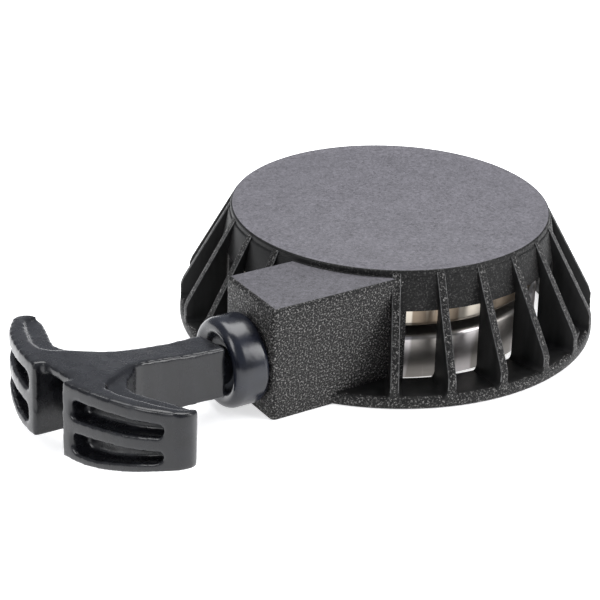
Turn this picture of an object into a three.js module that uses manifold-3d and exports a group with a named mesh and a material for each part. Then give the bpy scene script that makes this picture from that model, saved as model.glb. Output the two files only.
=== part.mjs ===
// Recoil starter for a small two-stroke engine: a ribbed moulded cover with a rope outlet box,
// a pressed-steel rope reel on a fixed post, a flat spiral return spring, two starter pawls
// moved by a friction plate, and a T-handle on a rope. Millimetres, +Z up.
//
// Heights in the constants below are measured up from the engine face, the flat underside of
// the cover's base ring. The finished assembly is lowered so that the origin is the centre of
// the cover's flat top. The crank axis is Z, and the rope is pulled out along -X.

import * as THREE from 'three';
import { mergeVertices } from 'three/addons/utils/BufferGeometryUtils.js';
import Module from 'manifold-3d';

const wasm = await Module();
wasm.setup();

const DEG = Math.PI / 180;

// Cover
const BASE_RADIUS = 59;
const COVER_HEIGHT = 33.4;
const TOP_RADIUS = 44.9;
const WALL = 2.4;
const DRUM_SKIRT_RADIUS = 47;
const DRUM_SKIRT_HEIGHT = 22.5;
const RIB_COUNT = 24;
const RIB_THICKNESS = 2.3;
const RIB_PHASE = -2 * DEG;
const RIB_KNEE_HEIGHT = 8.5;
const RING_INNER_RADIUS = 47.2;
const RING_THICKNESS = 3.2;
const ROUND_SEGMENTS = 72;
const REEL_SEGMENTS = 48;
const SMALL_SEGMENTS = 32;

// Mounting bosses in the base ring
const BOSS_ANGLES = [-54.5, 65.5, 185.5];
const BOSS_CIRCLE_RADIUS = 53;
const BOSS_RADIUS = 4.2;
const BOSS_HEIGHT = 5;
const BOSS_HOLE_RADIUS = 2.6;

// Rope outlet box
const BOX_FRONT = -61.9;
const BOX_BACK = -27.5;
const BOX_NEAR = -39.5;
const BOX_FAR = -15.3;
const BOX_TOP = 31.5;
const BOX_EDGE = 1;

// Post and the stack that the centre screw holds on it
const POST_RADIUS = 5.4;
const POST_END = 8.7;
const SCREW_HOLE_RADIUS = 2.2;
const SCREW_HOLE_TOP = 23;
const BUSH_INNER_RADIUS = 5.5;
const BUSH_OUTER_RADIUS = 6.5;
const BUSH_BOTTOM = 9.2;
const BUSH_TOP = 18.2;

// Rope reel: two pressed dishes riveted to a hub, with the rope groove between them
const REEL_RADIUS = 42.5;
const SHEET = 1.1;
const GROOVE_BOTTOM = 13.1;
const GROOVE_TOP = 15.7;
const SPRING_CUP_RIM = 29.4;
const RATCHET_CUP_RIM = 0.6;
const CUP_CORNER = 1.6;
const DISH_HOLE_RADIUS = 8.9;
const HUB_BORE_RADIUS = 6.6;
const HUB_NECK_RADIUS = 8.6;
const HUB_RADIUS = 12;
const HUB_BOTTOM = 8.5;
const HUB_TOP = 18.4;
const RIVET_ANGLES = [30, 150, 270];
const RIVET_CIRCLE_RADIUS = 10.4;
const RIVET_RADIUS = 0.9;
const RIVET_HEAD_RADIUS = 1.5;
const RIVET_HEAD_HEIGHT = 0.6;

// Rope
const ROPE_RADIUS = 1.2;
const ROPE_HEIGHT = 14.4;
const ROPE_LINE = -27.5;
const COIL_INNER_RADIUS = 12.4;
const COIL_OUTER_RADIUS = 28.75;
const RUN_START = -12.6;
const REEL_KNOT_RADIUS = 2.4;
const REEL_KNOT_PLACE = new THREE.Vector3(0, 15.2, 8.9);
const REEL_KNOT_HOLE_RADIUS = 1.7;

// Return spring
const SPRING_STRIP = 0.5;
const SPRING_BOTTOM = 18.8;
const SPRING_TOP = 28.4;
const SPRING_OUTER_RADIUS = 40.6;
const SPRING_PITCH = 1.7;
const SPRING_TURNS = 8;
const SPRING_STEPS_PER_TURN = 18;
const SPRING_END_RADIUS = 6.3;

// Pawls and friction plate, below the reel
const PAWL_PIVOT_RADIUS = 24;
const PAWL_BOTTOM = 8.4;
const PAWL_TOP = 11.5;
const PAWL_BORE_RADIUS = 2.1;
const PIN_RADIUS = 1.9;
const PIN_HEAD_RADIUS = 3.2;
const PIN_HEAD_HEIGHT = 1.1;
const PLATE_TOP = 8.1;
const PLATE_THICKNESS = 1.2;
const PLATE_RADIUS = 9.6;
const PLATE_BORE_RADIUS = 2.5;
const LUG_CIRCLE_RADIUS = 14.6;
const LUG_ANGLE = -36;
const LUG_RADIUS = 1.5;
const LUG_TOP = 11.2;

// Centre screw, washer and friction spring
const SCREW_RADIUS = 2;
const SCREW_HEAD_RADIUS = 4.4;
const SCREW_HEAD_BOTTOM = 1.3;
const SCREW_HEAD_TOP = 3.5;
const SCREW_END = 21;
const WASHER_RADIUS = 7.4;
const WASHER_BOTTOM = 3.6;
const WASHER_TOP = 4.4;
const FRICTION_SPRING_RADIUS = 5.4;
const FRICTION_WIRE_RADIUS = 0.45;
const FRICTION_SPRING_TURNS = 1.25;

// Rope guide, a round bush pressed into the box's front wall
const GUIDE_Y = -27.4;
const GUIDE_HEIGHT = 13.5;
const GUIDE_RADIUS = 12.1;
const GUIDE_NECK_RADIUS = 7;
const GUIDE_HOLE_RADIUS = 7.3;
const GUIDE_THROAT_RADIUS = 2.1;

// Handle: distances out along the pull from a pivot inside the guide, sideways, and up.
// It hangs on its rope, a little turned and tilted.
const HANDLE_PIVOT = new THREE.Vector3(-66, -28.5, 13.7);
const HANDLE_YAW = 4.7 * DEG;
const HANDLE_PITCH = 4.25 * DEG;
const HANDLE_ROLL = -5.1 * DEG;
const SHANK_START = 4.4;
const SHANK_HALF_WIDTH = 5.9;
const SHANK_WAIST = 5.1;
const SHANK_HALF_HEIGHT = 6.8;
const NOSE_RADIUS = 5.4;
const NOSE_END = 7.6;
const HANDLE_FRONT = 56.2;
const ARM_TIP = 39.4;
const HANDLE_TOP = 8.7;
const HANDLE_BOTTOM = -10.7;
const TIP_BOTTOM = -5.6;
const SHELF_RECESS = 1.4;
const POCKET_HALF_WIDTH = 6.5;
const POCKET_FLOOR = 43.5;
const POCKET_CEILING = 6.2;
const POCKET_NOTCH = 2.8;
const ROPE_BORE_RADIUS = 1.6;
const SLOT_DEPTH = 5;
const HANDLE_KNOT_RADIUS = 3.9;
const HANDLE_KNOT_OUT = 48.2;

// Colours
const NYLON_BLACK = 0x2b2c2f;
const GUIDE_BLACK = 0x15171c;
const HANDLE_BLACK = 0x1d1e22;
const ROPE_GREY = 0x54565a;
const ZINC_PLATE = 0xb9b6ad;
const SPRING_STEEL = 0x565b63;
const PAWL_STEEL = 0x8b8f95;
const HUB_NYLON = 0xd8d3c4;
const BRONZE = 0x9a6f3a;

// ---------- helpers ----------

function closedSurface(geometry) {
  const bare = geometry.index ? geometry.toNonIndexed() : geometry.clone();
  bare.deleteAttribute('normal');
  bare.deleteAttribute('uv');
  const merged = mergeVertices(bare, 1e-4);
  const kept = [];
  const index = merged.index.array;
  for (let i = 0; i < index.length; i += 3) {
    const [a, b, c] = [index[i], index[i + 1], index[i + 2]];
    if (a !== b && b !== c && c !== a) kept.push(a, b, c);
  }
  merged.setIndex(kept);
  return merged;
}

function signedVolume(geometry) {
  const position = geometry.attributes.position;
  const index = geometry.index.array;
  const corners = [new THREE.Vector3(), new THREE.Vector3(), new THREE.Vector3()];
  let six = 0;
  for (let i = 0; i < index.length; i += 3) {
    corners.forEach((corner, k) => corner.fromBufferAttribute(position, index[i + k]));
    six += corners[0].dot(corners[1].clone().cross(corners[2]));
  }
  return six / 6;
}

function facingOut(geometry) {
  const surface = closedSurface(geometry);
  if (signedVolume(surface) < 0) {
    const index = surface.index.array;
    for (let i = 0; i < index.length; i += 3) {
      [index[i], index[i + 1]] = [index[i + 1], index[i]];
    }
  }
  return surface;
}

function solid(geometry) {
  const surface = facingOut(geometry);
  const mesh = new wasm.Mesh({
    numProp: 3,
    vertProperties: new Float32Array(surface.attributes.position.array),
    triVerts: new Uint32Array(surface.index.array),
  });
  return new wasm.Manifold(mesh);
}

function geometryOf(body) {
  const mesh = body.getMesh();
  const geometry = new THREE.BufferGeometry();
  geometry.setAttribute('position', new THREE.BufferAttribute(mesh.vertProperties.slice(), 3));
  geometry.setIndex(new THREE.BufferAttribute(mesh.triVerts.slice(), 1));
  return geometry;
}

function joined(bodies) {
  return bodies.reduce((sum, body) => sum.add(body));
}

function outline(points) {
  return new THREE.Shape(points.map(([x, y]) => new THREE.Vector2(x, y)));
}

// A shape in the XY plane, raised from one height to another.
function raised(shape, bottom, top) {
  const settings = { depth: top - bottom, bevelEnabled: false, curveSegments: 12 };
  return new THREE.ExtrudeGeometry(shape, settings).translate(0, 0, bottom);
}

// A shape drawn as (out, up), stood up along a direction in the XY plane and given a thickness.
function standing(shape, thickness, angle) {
  const geometry = new THREE.ExtrudeGeometry(shape, { depth: thickness, bevelEnabled: false });
  geometry.translate(0, 0, -thickness / 2);
  geometry.rotateX(Math.PI / 2);
  return geometry.rotateZ(angle);
}

// A profile of [radius, height] points turned about Z.
function turned(profile, segments = ROUND_SEGMENTS) {
  const points = profile.map(([r, z]) => new THREE.Vector2(r, z));
  return new THREE.LatheGeometry(points, segments).rotateX(Math.PI / 2);
}

function ringProfile(inner, outer, bottom, top) {
  return [[inner, bottom], [outer, bottom], [outer, top], [inner, top], [inner, bottom]];
}

function rod(radius, bottom, top, segments = 24) {
  const geometry = new THREE.CylinderGeometry(radius, radius, top - bottom, segments);
  return geometry.rotateX(Math.PI / 2).translate(0, 0, (bottom + top) / 2);
}

function block(low, high) {
  const geometry = new THREE.BoxGeometry(high[0] - low[0], high[1] - low[1], high[2] - low[2]);
  return geometry.translate((low[0] + high[0]) / 2, (low[1] + high[1]) / 2, (low[2] + high[2]) / 2);
}

function onCircle(radius, degrees) {
  return [radius * Math.cos(degrees * DEG), radius * Math.sin(degrees * DEG)];
}

// A rectangle with rounded corners.
function roundedRectangle(x0, y0, x1, y1, r) {
  const shape = new THREE.Shape();
  shape.moveTo(x0 + r, y0);
  shape.lineTo(x1 - r, y0);
  shape.absarc(x1 - r, y0 + r, r, -Math.PI / 2, 0, false);
  shape.lineTo(x1, y1 - r);
  shape.absarc(x1 - r, y1 - r, r, 0, Math.PI / 2, false);
  shape.lineTo(x0 + r, y1);
  shape.absarc(x0 + r, y1 - r, r, Math.PI / 2, Math.PI, false);
  shape.lineTo(x0, y0 + r);
  shape.absarc(x0 + r, y0 + r, r, Math.PI, 1.5 * Math.PI, false);
  return shape;
}

function tube(path, radius, steps, sides) {
  const section = new THREE.Shape();
  for (let i = 0; i < sides; i += 1) {
    const angle = (2 * Math.PI * i) / sides;
    const point = [radius * Math.cos(angle), radius * Math.sin(angle)];
    if (i === 0) section.moveTo(...point);
    else section.lineTo(...point);
  }
  return new THREE.ExtrudeGeometry(section, { steps, bevelEnabled: false, extrudePath: path });
}

const group = new THREE.Group();
const assembly = new THREE.Group();
assembly.position.z = -COVER_HEIGHT;
group.add(assembly);

function addNode(name, geometry, color, roughness, metalness, parent = assembly) {
  const material = new THREE.MeshStandardMaterial({ color, roughness, metalness });
  const mesh = new THREE.Mesh(geometry, material);
  mesh.name = name;
  parent.add(mesh);
  return mesh;
}

// ---------- cover ----------

function drum() {
  const ceiling = COVER_HEIGHT - WALL;
  return solid(turned([
    [0, COVER_HEIGHT],
    [TOP_RADIUS - 0.8, COVER_HEIGHT],
    [TOP_RADIUS - 0.2, COVER_HEIGHT - 0.3],
    [TOP_RADIUS, COVER_HEIGHT - 0.9],
    [DRUM_SKIRT_RADIUS, DRUM_SKIRT_HEIGHT],
    [DRUM_SKIRT_RADIUS - WALL, DRUM_SKIRT_HEIGHT],
    [TOP_RADIUS - 1.3, ceiling],
    [0, ceiling],
  ]));
}

function baseRing() {
  return solid(turned([
    [RING_INNER_RADIUS, 0],
    [BASE_RADIUS - 0.6, 0],
    [BASE_RADIUS, 0.6],
    [BASE_RADIUS, RING_THICKNESS - 0.6],
    [BASE_RADIUS - 0.6, RING_THICKNESS],
    [RING_INNER_RADIUS, RING_THICKNESS],
    [RING_INNER_RADIUS, 0],
  ]));
}

function rib(angle) {
  const profile = outline([
    [TOP_RADIUS - 0.5, COVER_HEIGHT - 0.7],
    [TOP_RADIUS - 1, COVER_HEIGHT - 1.5],
    [DRUM_SKIRT_RADIUS - 1, DRUM_SKIRT_HEIGHT + 0.4],
    [DRUM_SKIRT_RADIUS, DRUM_SKIRT_HEIGHT + 0.2],
    [DRUM_SKIRT_RADIUS + 0.4, 0.1],
    [BASE_RADIUS - 0.1, 0.1],
    [BASE_RADIUS - 0.1, RIB_KNEE_HEIGHT - 1.2],
    [BASE_RADIUS - 0.7, RIB_KNEE_HEIGHT + 0.6],
  ]);
  return solid(standing(profile, RIB_THICKNESS, angle));
}

function ribAngles() {
  const behindBox = (angle) => {
    const y = BASE_RADIUS * Math.sin(angle);
    return Math.cos(angle) < 0 && y > -DRUM_SKIRT_RADIUS + 0.5 && y < BOX_FAR - 2;
  };
  const angles = [];
  for (let i = 0; i < RIB_COUNT; i += 1) {
    const angle = RIB_PHASE + (i * 2 * Math.PI) / RIB_COUNT;
    if (!behindBox(angle)) angles.push(angle);
  }
  return angles;
}

function housing() {
  const box = raised(roundedRectangle(BOX_FRONT, BOX_NEAR, BOX_BACK, BOX_FAR, BOX_EDGE), 0, BOX_TOP);
  const shell = joined([drum(), baseRing(), solid(box), ...ribAngles().map(rib)]);
  const inside = solid(turned([
    [0, -1],
    [DRUM_SKIRT_RADIUS - WALL, -1],
    [DRUM_SKIRT_RADIUS - WALL, DRUM_SKIRT_HEIGHT],
    [TOP_RADIUS - 1.3, COVER_HEIGHT - WALL],
    [0, COVER_HEIGHT - WALL],
  ]));
  const boxInside = solid(block(
    [BOX_FRONT + WALL, BOX_NEAR + WALL, -1],
    [BOX_BACK, BOX_FAR - WALL, DRUM_SKIRT_HEIGHT - 0.5],
  ));
  const guideHole = new THREE.CylinderGeometry(GUIDE_HOLE_RADIUS, GUIDE_HOLE_RADIUS, 12, SMALL_SEGMENTS);
  guideHole.rotateZ(Math.PI / 2).translate(BOX_FRONT, GUIDE_Y, GUIDE_HEIGHT);
  const hollow = shell.subtract(inside).subtract(boxInside).subtract(solid(guideHole));
  const post = solid(rod(POST_RADIUS, POST_END, COVER_HEIGHT - 1, SMALL_SEGMENTS));
  const bosses = BOSS_ANGLES.map((degrees) => {
    const [x, y] = onCircle(BOSS_CIRCLE_RADIUS, degrees);
    return solid(rod(BOSS_RADIUS, 0, BOSS_HEIGHT).translate(x, y, 0));
  });
  const holes = BOSS_ANGLES.map((degrees) => {
    const [x, y] = onCircle(BOSS_CIRCLE_RADIUS, degrees);
    return solid(rod(BOSS_HOLE_RADIUS, -1, BOSS_HEIGHT + 1).translate(x, y, 0));
  });
  const screwHole = solid(rod(SCREW_HOLE_RADIUS, POST_END - 1, SCREW_HOLE_TOP));
  const springSlot = solid(block(
    [-POST_RADIUS - 1, -0.6, SPRING_BOTTOM - 0.8],
    [-2.6, 0.6, SPRING_TOP + 0.8],
  ));
  return joined([hollow, post, ...bosses]).subtract(joined(holes)).subtract(screwHole).subtract(springSlot);
}

addNode('housing', geometryOf(housing()), NYLON_BLACK, 0.75, 0);

// ---------- rope guide ----------

function ropeGuide() {
  const profile = [
    [GUIDE_THROAT_RADIUS, -5],
    [GUIDE_THROAT_RADIUS, 3],
    [4.4, 4.6],
    [6.8, 6.2],
    [7.7, 7.6],
    [8.6, 9.3],
    [9.8, 10],
    [10.8, 10],
    [11.7, 9.2],
    [GUIDE_RADIUS - 0.1, 8],
    [GUIDE_RADIUS - 0.5, 6.5],
    [GUIDE_RADIUS, 4.8],
    [GUIDE_RADIUS, 0.3],
    [GUIDE_NECK_RADIUS, 0.3],
    [GUIDE_NECK_RADIUS, -2.7],
    [8.2, -2.7],
    [8.2, -4.4],
    [7.4, -5],
    [GUIDE_THROAT_RADIUS, -5],
  ];
  const geometry = turned(profile, SMALL_SEGMENTS);
  return geometry.rotateY(-Math.PI / 2).translate(BOX_FRONT, GUIDE_Y, GUIDE_HEIGHT);
}

addNode('rope_guide', facingOut(ropeGuide()), GUIDE_BLACK, 0.25, 0);

// ---------- reel ----------

function rivetHoles(radius) {
  return joined(RIVET_ANGLES.map((degrees) => {
    const [x, y] = onCircle(RIVET_CIRCLE_RADIUS, degrees);
    return solid(rod(radius, 0, COVER_HEIGHT, 16).translate(x, y, 0));
  }));
}

function ratchetCup() {
  const top = GROOVE_BOTTOM;
  const corner = CUP_CORNER * (1 - Math.SQRT1_2);
  const dish = solid(turned([
    [DISH_HOLE_RADIUS, top],
    [REEL_RADIUS - CUP_CORNER, top],
    [REEL_RADIUS - corner, top - corner],
    [REEL_RADIUS, top - CUP_CORNER],
    [REEL_RADIUS, RATCHET_CUP_RIM],
    [REEL_RADIUS - SHEET, RATCHET_CUP_RIM],
    [REEL_RADIUS - SHEET, top - CUP_CORNER],
    [REEL_RADIUS - CUP_CORNER, top - SHEET],
    [DISH_HOLE_RADIUS, top - SHEET],
    [DISH_HOLE_RADIUS, top],
  ], REEL_SEGMENTS));
  const pinHoles = [0, 180].map((degrees) => {
    const [x, y] = onCircle(PAWL_PIVOT_RADIUS, degrees);
    return solid(rod(PIN_RADIUS + 0.3, top - 3, top + 1, 16).translate(x, y, 0));
  });
  const { x, y } = REEL_KNOT_PLACE;
  const ropeHole = solid(rod(REEL_KNOT_HOLE_RADIUS, top - 3, top + 1, 16).translate(x, y, 0));
  return dish.subtract(rivetHoles(RIVET_RADIUS + 0.3)).subtract(joined([...pinHoles, ropeHole]));
}

function springCup() {
  const floor = GROOVE_TOP;
  const corner = CUP_CORNER * (1 - Math.SQRT1_2);
  const dish = solid(turned([
    [DISH_HOLE_RADIUS, floor],
    [DISH_HOLE_RADIUS, floor + SHEET],
    [REEL_RADIUS - CUP_CORNER, floor + SHEET],
    [REEL_RADIUS - SHEET, floor + CUP_CORNER],
    [REEL_RADIUS - SHEET, SPRING_CUP_RIM],
    [REEL_RADIUS, SPRING_CUP_RIM],
    [REEL_RADIUS, floor + CUP_CORNER],
    [REEL_RADIUS - corner, floor + corner],
    [REEL_RADIUS - CUP_CORNER, floor],
    [DISH_HOLE_RADIUS, floor],
  ], REEL_SEGMENTS));
  const hookSlot = solid(block(
    [REEL_RADIUS - 4, -1.6, SPRING_BOTTOM - 0.6],
    [REEL_RADIUS + 2, 1.6, SPRING_TOP + 0.4],
  ));
  return dish.subtract(rivetHoles(RIVET_RADIUS + 0.3)).subtract(hookSlot);
}

function reelHub() {
  const gap = 0.1;
  const body = solid(turned([
    [HUB_BORE_RADIUS, HUB_BOTTOM],
    [HUB_NECK_RADIUS, HUB_BOTTOM],
    [HUB_NECK_RADIUS, GROOVE_BOTTOM + gap],
    [HUB_RADIUS, GROOVE_BOTTOM + gap],
    [HUB_RADIUS, GROOVE_TOP - gap],
    [HUB_NECK_RADIUS, GROOVE_TOP - gap],
    [HUB_NECK_RADIUS, HUB_TOP],
    [HUB_BORE_RADIUS, HUB_TOP],
    [HUB_BORE_RADIUS, HUB_BOTTOM],
  ], SMALL_SEGMENTS));
  return body.subtract(rivetHoles(RIVET_RADIUS + 0.3));
}

function rivet(degrees) {
  const [x, y] = onCircle(RIVET_CIRCLE_RADIUS, degrees);
  const under = GROOVE_BOTTOM - SHEET - 0.1;
  const over = GROOVE_TOP + SHEET + 0.1;
  const profile = [
    [0, under - RIVET_HEAD_HEIGHT],
    [RIVET_HEAD_RADIUS, under - RIVET_HEAD_HEIGHT],
    [RIVET_HEAD_RADIUS, under],
    [RIVET_RADIUS, under],
    [RIVET_RADIUS, over],
    [RIVET_HEAD_RADIUS, over],
    [RIVET_HEAD_RADIUS, over + RIVET_HEAD_HEIGHT],
    [0, over + RIVET_HEAD_HEIGHT],
  ];
  return turned(profile, 16).translate(x, y, 0);
}

addNode('spring_cup', geometryOf(springCup()), ZINC_PLATE, 0.25, 1);
addNode('ratchet_cup', geometryOf(ratchetCup()), ZINC_PLATE, 0.25, 1);
addNode('reel_hub', geometryOf(reelHub()), HUB_NYLON, 0.6, 0);
addNode('post_bush', facingOut(turned(
  ringProfile(BUSH_INNER_RADIUS, BUSH_OUTER_RADIUS, BUSH_BOTTOM, BUSH_TOP),
  SMALL_SEGMENTS,
)), BRONZE, 0.4, 1);
RIVET_ANGLES.forEach((degrees, i) => {
  addNode(`reel_rivet_${i + 1}`, facingOut(rivet(degrees)), ZINC_PLATE, 0.35, 1);
});

// ---------- return spring ----------

// The strip lies in close turns against the cup's wall, then crosses to the post in one
// widening turn. Its outer end hooks out through the cup's slot, its inner end into the post.
function springStrip() {
  const steps = SPRING_STEPS_PER_TURN * (SPRING_TURNS + 1);
  const innermost = SPRING_OUTER_RADIUS - SPRING_PITCH * SPRING_TURNS;
  const startAngle = 7;
  const centre = [[REEL_RADIUS - 0.6, 0], [SPRING_OUTER_RADIUS + 0.3, 0.6]];
  for (let i = 0; i <= steps; i += 1) {
    const turn = i / SPRING_STEPS_PER_TURN;
    const crossing = Math.max(0, turn - SPRING_TURNS);
    const ease = crossing * crossing * (3 - 2 * crossing);
    const close = SPRING_OUTER_RADIUS - SPRING_PITCH * Math.min(turn, SPRING_TURNS);
    const radius = close - (innermost - SPRING_END_RADIUS) * ease;
    const sweep = (180 - startAngle) * Math.min(1, turn / (SPRING_TURNS + 1));
    centre.push(onCircle(radius, startAngle + sweep + 360 * turn));
  }
  centre.push([-3.4, 0]);
  const side = (sign) => centre.map(([x, y], i) => {
    const [x0, y0] = centre[Math.max(0, i - 1)];
    const [x1, y1] = centre[Math.min(centre.length - 1, i + 1)];
    const length = Math.hypot(x1 - x0, y1 - y0);
    const half = (sign * SPRING_STRIP) / 2;
    return [x + (half * (y1 - y0)) / length, y - (half * (x1 - x0)) / length];
  });
  return raised(outline([...side(1), ...side(-1).reverse()]), SPRING_BOTTOM, SPRING_TOP);
}

addNode('recoil_spring', facingOut(springStrip()), SPRING_STEEL, 0.35, 1);

// ---------- pawls, friction plate and centre screw ----------

// A pawl lies inside the reel's radius at rest, its nose trailing away from the pivot.
function pawl() {
  const shape = new THREE.Shape();
  shape.absarc(0, 0, 4, -20 * DEG, 160 * DEG, false);
  shape.lineTo(-5.6, -5);
  shape.quadraticCurveTo(-7.4, -10, -7.2, -14.6);
  shape.lineTo(-2.4, -15.4);
  shape.quadraticCurveTo(-1.2, -9, 3.6, -3.4);
  const body = solid(raised(shape, PAWL_BOTTOM, PAWL_TOP));
  return body.subtract(solid(rod(PAWL_BORE_RADIUS, PAWL_BOTTOM - 1, PAWL_TOP + 1, 32)));
}

function pawlPin() {
  const head = PAWL_BOTTOM - 0.2;
  return turned([
    [0, head - PIN_HEAD_HEIGHT],
    [PIN_HEAD_RADIUS, head - PIN_HEAD_HEIGHT],
    [PIN_HEAD_RADIUS, head],
    [PIN_RADIUS, head],
    [PIN_RADIUS, GROOVE_BOTTOM - 0.1],
    [0, GROOVE_BOTTOM - 0.1],
  ], 20);
}

function frictionPlate() {
  const bottom = PLATE_TOP - PLATE_THICKNESS;
  const disc = solid(rod(PLATE_RADIUS, bottom, PLATE_TOP, SMALL_SEGMENTS));
  const arms = [0, 180].map((side) => {
    const arm = solid(block([0, -2.6, bottom], [LUG_CIRCLE_RADIUS + 1.8, 2.6, PLATE_TOP]));
    const lug = solid(rod(LUG_RADIUS, bottom, LUG_TOP, 16).translate(LUG_CIRCLE_RADIUS, 0, 0));
    return arm.add(lug).rotate([0, 0, LUG_ANGLE + side]);
  });
  const bore = solid(rod(PLATE_BORE_RADIUS, bottom - 1, PLATE_TOP + 1));
  return joined([disc, ...arms]).subtract(bore);
}

class Helix extends THREE.Curve {
  constructor(radius, bottom, top, turns) {
    super();
    Object.assign(this, { radius, bottom, top, turns });
  }

  getPoint(t, target = new THREE.Vector3()) {
    const angle = 2 * Math.PI * this.turns * t;
    const z = this.bottom + (this.top - this.bottom) * t;
    return target.set(this.radius * Math.cos(angle), this.radius * Math.sin(angle), z);
  }
}

function frictionSpring() {
  const gap = FRICTION_WIRE_RADIUS + 0.1;
  const path = new Helix(
    FRICTION_SPRING_RADIUS,
    WASHER_TOP + gap,
    PLATE_TOP - PLATE_THICKNESS - gap,
    FRICTION_SPRING_TURNS,
  );
  return tube(path, FRICTION_WIRE_RADIUS, 32, 6);
}

function centreScrew() {
  const body = solid(turned([
    [0, SCREW_HEAD_BOTTOM],
    [SCREW_HEAD_RADIUS - 0.8, SCREW_HEAD_BOTTOM],
    [SCREW_HEAD_RADIUS, SCREW_HEAD_BOTTOM + 0.8],
    [SCREW_HEAD_RADIUS, SCREW_HEAD_TOP],
    [SCREW_RADIUS, SCREW_HEAD_TOP],
    [SCREW_RADIUS, SCREW_END - 1],
    [SCREW_RADIUS - 0.8, SCREW_END],
    [0, SCREW_END],
  ], 24));
  const blade = block([-2.6, -0.5, 0], [2.6, 0.5, SCREW_HEAD_BOTTOM + 1.3]);
  const cross = solid(blade).add(solid(blade.clone().rotateZ(Math.PI / 2)));
  return body.subtract(cross);
}

const underReel = [0, 180].map((degrees) => {
  const seat = new THREE.Group();
  seat.rotation.z = degrees * DEG;
  const arm = new THREE.Group();
  arm.position.x = PAWL_PIVOT_RADIUS;
  seat.add(arm);
  assembly.add(seat);
  return arm;
});
underReel.forEach((arm, i) => {
  addNode(`pawl_${i + 1}`, geometryOf(pawl()), PAWL_STEEL, 0.4, 1, arm);
  addNode(`pawl_pin_${i + 1}`, facingOut(pawlPin()), ZINC_PLATE, 0.35, 1, arm);
});
addNode('friction_plate', geometryOf(frictionPlate()), PAWL_STEEL, 0.45, 1);
addNode('friction_spring', facingOut(frictionSpring()), SPRING_STEEL, 0.35, 1);
addNode('retaining_washer', facingOut(turned(
  ringProfile(SCREW_RADIUS + 0.3, WASHER_RADIUS, WASHER_BOTTOM, WASHER_TOP),
  SMALL_SEGMENTS,
)), ZINC_PLATE, 0.3, 1);
addNode('centre_screw', geometryOf(centreScrew()), ZINC_PLATE, 0.3, 1);

// ---------- handle ----------

// The palm side, from the middle to a tip, as [out, sideways].
function palmLine(inset) {
  const curve = new THREE.CatmullRomCurve3([
    [HANDLE_FRONT, 0],
    [HANDLE_FRONT - 0.5, 10],
    [HANDLE_FRONT - 2.6, 20],
    [HANDLE_FRONT - 6.6, 30.5],
    [HANDLE_FRONT - 12, ARM_TIP - 1.3],
  ].map(([out, side]) => new THREE.Vector3(out, side, 0)));
  return curve.getPoints(12).map((point, i) => {
    const ahead = curve.getTangent(i / 12);
    return [point.x - inset * ahead.y, point.y + inset * ahead.x];
  });
}

// Both halves of an outline that is given as [along, across] from the middle line round to
// the middle line again.
function mirrored(half) {
  const other = half.filter(([, across]) => across > 0).map(([along, across]) => [along, -across]);
  return [...half, ...other.reverse()];
}

// The front plate of the arms, the crotch and the shank, seen from above.
function platePlan() {
  return outline(mirrored([
    ...palmLine(0),
    [HANDLE_FRONT - 13.6, ARM_TIP - 0.3],
    [HANDLE_FRONT - 15.6, ARM_TIP],
    [HANDLE_FRONT - 17.6, ARM_TIP - 0.8],
    [HANDLE_FRONT - 18.6, ARM_TIP - 2.4],
    [HANDLE_FRONT - 17.4, ARM_TIP - 2.8],
    [HANDLE_FRONT - 15.4, ARM_TIP - 3.4],
    [HANDLE_FRONT - 13.6, ARM_TIP - 5],
    [HANDLE_FRONT - 11, 29.6],
    [HANDLE_FRONT - 7.8, 21.4],
    [HANDLE_FRONT - 7, 16],
    [HANDLE_FRONT - 9, 12.8],
    [HANDLE_FRONT - 15.2, 9],
    [HANDLE_FRONT - 19.2, 6.6],
    [HANDLE_FRONT - 24, SHANK_WAIST + 0.2],
    [HANDLE_FRONT - 30, SHANK_WAIST],
    [SHANK_START + 13, SHANK_HALF_WIDTH - 0.5],
    [SHANK_START + 3.5, SHANK_HALF_WIDTH],
    [SHANK_START, SHANK_HALF_WIDTH],
    [SHANK_START, 0],
  ]));
}

// The shelf behind the front plate, set down from its top and bottom, that the fingers hook.
function shelfPlan() {
  return outline(mirrored([
    [HANDLE_FRONT - 4, 0],
    [HANDLE_FRONT - 5.6, 14],
    [HANDLE_FRONT - 8.6, 24],
    [HANDLE_FRONT - 12.6, 33],
    [HANDLE_FRONT - 14.4, ARM_TIP - 2.6],
    [HANDLE_FRONT - 16.6, ARM_TIP - 1.6],
    [HANDLE_FRONT - 18.5, ARM_TIP - 2.6],
    [HANDLE_FRONT - 18.7, ARM_TIP - 5],
    [HANDLE_FRONT - 16.1, 27],
    [HANDLE_FRONT - 14.4, 23],
    [HANDLE_FRONT - 13, 18.6],
    [HANDLE_FRONT - 13.4, 15.4],
    [HANDLE_FRONT - 16.4, 10.8],
    [HANDLE_FRONT - 20.4, 7],
    [HANDLE_FRONT - 23, 4],
    [HANDLE_FRONT - 23, 0],
  ]));
}

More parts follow.
